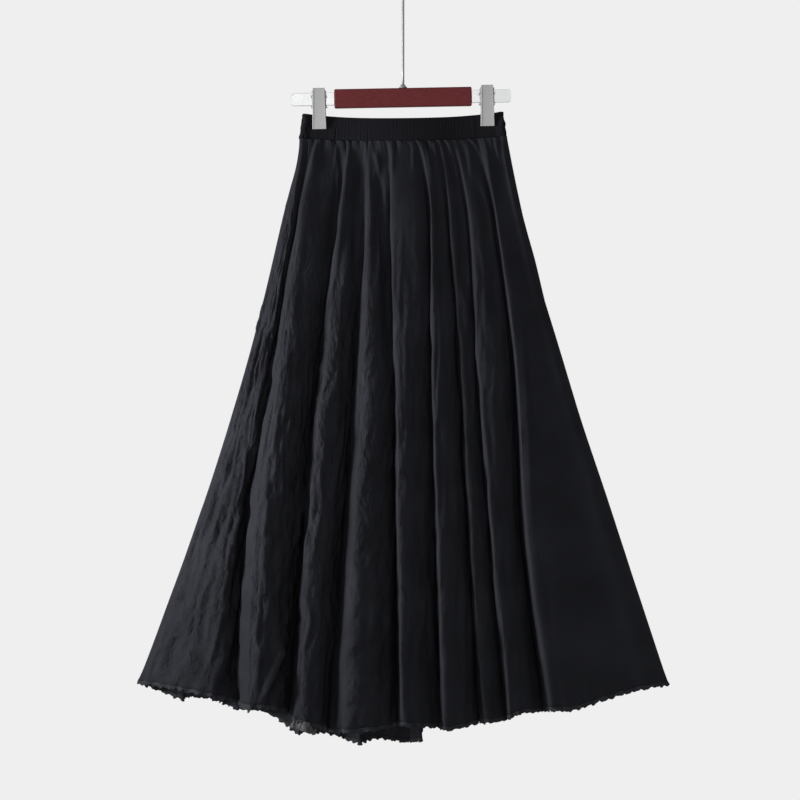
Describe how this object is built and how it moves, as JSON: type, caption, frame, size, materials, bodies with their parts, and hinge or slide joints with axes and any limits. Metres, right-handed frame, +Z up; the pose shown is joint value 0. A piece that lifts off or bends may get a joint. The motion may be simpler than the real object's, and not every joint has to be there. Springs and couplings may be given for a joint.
{
  "type": "maxi skirt on a clip hanger",
  "caption": "Ankle-length flared black skirt with a gathered elastic waist and a wavy overlocked hem, clipped to a bar hanger.",
  "frame": {"origin": "the inner top of the hanger's hook, where it hangs on a rail", "axes": "+Z up, +X towards the right edge as seen from the front, +Y from the front of the skirt to its back"},
  "size_m": [0.7933, 0.2179, 1.1923],
  "materials": {
    "cloth": "matt black crepe",
    "hem_thread": "overlocked edge in the cloth's colour",
    "wood": "varnished red-brown",
    "clear_bar": "clear polished plastic",
    "clips": "light grey satin plastic",
    "wire": "bright plated wire"
  },
  "bodies": {
    "root": {"front_panel": "cloth", "back_panel": "cloth", "waistband_front": "cloth", "waistband_back": "cloth", "front_hem": "hem_thread", "back_hem": "hem_thread", "hanger_wood_bar": "wood", "hanger_clear_bar_left": "clear_bar", "hanger_clear_bar_right": "clear_bar", "hanger_neck_collar": "wire", "hanger_hook": "wire", "clip_left_sleeve": "clips", "clip_left_front_jaw": "clips", "clip_left_back_jaw": "clips", "clip_right_sleeve": "clips", "clip_right_front_jaw": "clips", "clip_right_back_jaw": "clips"}
  },
  "joints": []
}
